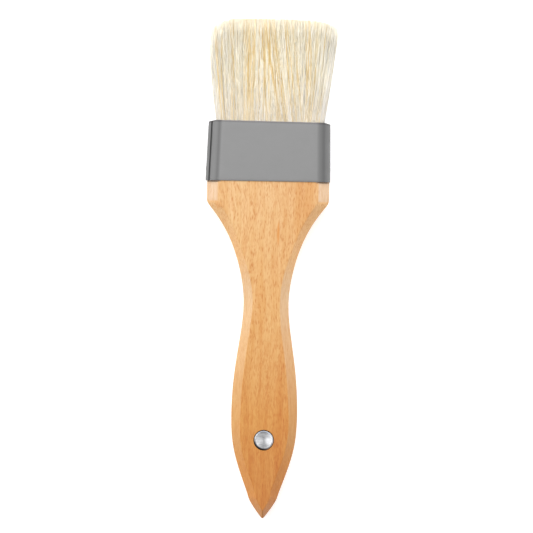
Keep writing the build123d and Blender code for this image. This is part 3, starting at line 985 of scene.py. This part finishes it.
def strand_rings(u, v, lean, bow, sign):
    """The points that each strand runs through: its root, then its free length."""
    n = STRANDS
    height = section_height(np.clip(u, -1, 1)) * v
    mouth_x = u * MOUTH_HALF_WIDTH + MOUTH_SHIFT
    mouth_h = height * MOUTH_HALF_HEIGHT
    tip_x, tip_h, tip_y = strand_tips(u, v, height, lean)
    root_y = roots_low.y + 0.2 * MM
    root_x = np.clip(mouth_x - MOUTH_SHIFT, -ROOT_HALF_WIDTH, ROOT_HALF_WIDTH)
    root_h = SPACER_HALF + 0.15 * MM + mouth_h * ROOT_GATHER
    bow_h = np.abs(rng.normal(0, 0.15, n)) * MM * (v - 0.3)
    wave = rng.normal(0, 0.08, n) * MM
    phase = rng.uniform(0, 2 * np.pi, n)
    rings = np.zeros((n, len(STRAND_SHARES) + 1, 3))
    rings[:, 0] = np.stack([root_x, np.full(n, root_y), mid_z + sign * root_h], axis=1)
    start = mouth_y - FREE_START
    for k, s in enumerate(STRAND_SHARES):
        flare = s * (1.2 - 0.2 * s)
        x = mouth_x + (tip_x - mouth_x) * flare + bow * 4 * s * (1 - s)
        x = x + wave * np.sin(phase + 7 * s) * s
        h = np.maximum(mouth_h + (tip_h - mouth_h) * s + bow_h * 4 * s * (1 - s), 0.01 * MM)
        rings[:, k + 1] = np.stack([x, start + (tip_y - start) * s, mid_z + sign * h], axis=1)
    return rings


def strand_radii(v):
    """Each strand's radius at each of its rings."""
    n = STRANDS
    thick = (rng.random(n) < THICK_SHARE) * (v > 0.7)
    thickness = BASE_RADIUS * np.where(thick, rng.uniform(1.25, 1.5, n), rng.uniform(0.75, 1.2, n))
    taper = np.concatenate([[1.0], 1 - TAPER * STRAND_SHARES**2])
    return thickness[:, None] * taper[None, :]


def make_bundle(name, sign, material):
    """The front or the back bundle of bristles."""
    u, v = scatter()
    lean, tone = gather(u, v, sign)
    golden, u, v, lean, bow, tone = add_streaks(u, v, lean, tone, sign)
    v, lean, tone = loosen(golden, u, v, lean, tone)
    rings = strand_rings(u, v, lean * MM, bow * MM, sign)
    radii = strand_radii(v)
    turns = rng.uniform(0, 2 * np.pi, STRANDS)
    return make_strand_mesh(name, rings, radii, turns, tone, material)


# ---- build -------------------------------------------------------------------
handle = make_handle(beech_material())
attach(handle, "brush")
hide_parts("handle")

ferrule = make_ferrule(steel_material())
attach(ferrule, "brush")
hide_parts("ferrule")

magnet = make_magnet(disc_material())
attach(magnet, "brush")
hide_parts("hanging_magnet")

bristle = bristle_material()
for side, sign in (("front", 1), ("back", -1)):
    bundle = make_bundle(f"bristles_{side}", sign, bristle)
    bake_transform(bundle)
    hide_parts(f"bristle_tuft_{side}", f"bristle_roots_{side}")

refinish("ferrule_pins", pin_material())
refinish("magnet_glue", cast_material("clear_glue", srgb(196, 176, 140), srgb(150, 120, 82), 2 * MM, 0.2))
refinish("resin_set", cast_material("setting_resin", srgb(150, 112, 62), srgb(96, 66, 34), 5 * MM, 0.25))
refinish("spacer_strip", spacer_material())

# ---- floor, light and camera -------------------------------------------------
FLOOR_REACH = 3.0
FLOOR_DROP = 0.02 * MM
FLOOR_GLOW = 0.6
FLOOR_LIGHT = (0.72, 0.72, 0.72, 1)
FLOOR_DARK = (0.7, 0.7, 0.7, 1)
WORLD_RISE = {  # how bright the world is, from one Y of a direction to another
    "From Min": -0.75, "From Max": 0.35, "To Min": 0.2, "To Max": 1.13}
WHITE = (1, 1, 1, 1)
KEY_PLACE = (-0.3, 1.35, 1.5)
KEY_SIZE = 1.9
KEY_POWER = 38.0
VIEW_WIDTH = 218.5 * MM
VIEW_DISTANCE = 2.4
VIEW_CENTRE = (-0.1 * MM, 1.1 * MM)
VIEW_TURN = math.radians(1.0)
SENSOR_WIDTH = 36


def make_floor():
    """A white light table, whose own glow keeps the shadows faint."""
    m = Shader("light_table", Roughness=0.9, Emission_Strength=FLOOR_GLOW)
    m.surface.inputs["Emission Color"].default_value = WHITE
    cloud = m.noise(m.stretched(0.2, 0.2, 0.2))
    m.link(m.mix(cloud, FLOOR_DARK, FLOOR_LIGHT), "Base Color")
    corners = [(FLOOR_REACH * x, FLOOR_REACH * y, 0) for x, y in ((-1, -1), (1, -1), (1, 1), (-1, 1))]
    floor = make_piece("floor", corners, [(0, 1, 2, 3)], m.material)
    floor.location.z = -FLOOR_DROP
    return floor


def make_world():
    """A white studio: brighter beyond the bristle tips, dim beyond the point."""
    world = bpy.data.worlds.new("studio")
    world.use_nodes = True
    tree = world.node_tree
    back = tree.nodes["Background"]
    way = tree.nodes.new("ShaderNodeTexCoord").outputs["Generated"]
    parts = tree.nodes.new("ShaderNodeSeparateXYZ")
    tree.links.new(way, parts.inputs[0])
    lengthwise = tree.nodes.new("ShaderNodeMapRange")
    lengthwise.interpolation_type = "SMOOTHSTEP"
    tree.links.new(parts.outputs["Y"], lengthwise.inputs["Value"])
    for name, value in WORLD_RISE.items():
        lengthwise.inputs[name].default_value = value
    back.inputs["Color"].default_value = WHITE
    tree.links.new(lengthwise.outputs["Result"], back.inputs["Strength"])
    bpy.context.scene.world = world


def make_key_light():
    """One large soft light, high beyond the bristle tips and aimed at the brush."""
    lamp = bpy.data.lights.new("key", "AREA")
    lamp.shape = "RECTANGLE"
    lamp.size, lamp.size_y = KEY_SIZE, KEY_SIZE
    lamp.energy = KEY_POWER
    light = bpy.data.objects.new("key", lamp)
    bpy.context.scene.collection.objects.link(light)
    light.location = KEY_PLACE
    light.rotation_euler = (-Vector(KEY_PLACE)).to_track_quat("-Z", "Y").to_euler()


def make_camera():
    """A long lens straight above the brush."""
    lens = bpy.data.cameras.new("camera")
    lens.sensor_width = SENSOR_WIDTH
    lens.lens = SENSOR_WIDTH * VIEW_DISTANCE / VIEW_WIDTH
    camera = bpy.data.objects.new("camera", lens)
    bpy.context.scene.collection.objects.link(camera)
    camera.location = (*VIEW_CENTRE, mid_z + VIEW_DISTANCE)
    camera.rotation_euler = (0, 0, VIEW_TURN)
    bpy.context.scene.camera = camera


make_floor()
make_world()
make_key_light()
make_camera()
bpy.context.scene.view_settings.view_transform = "Standard"
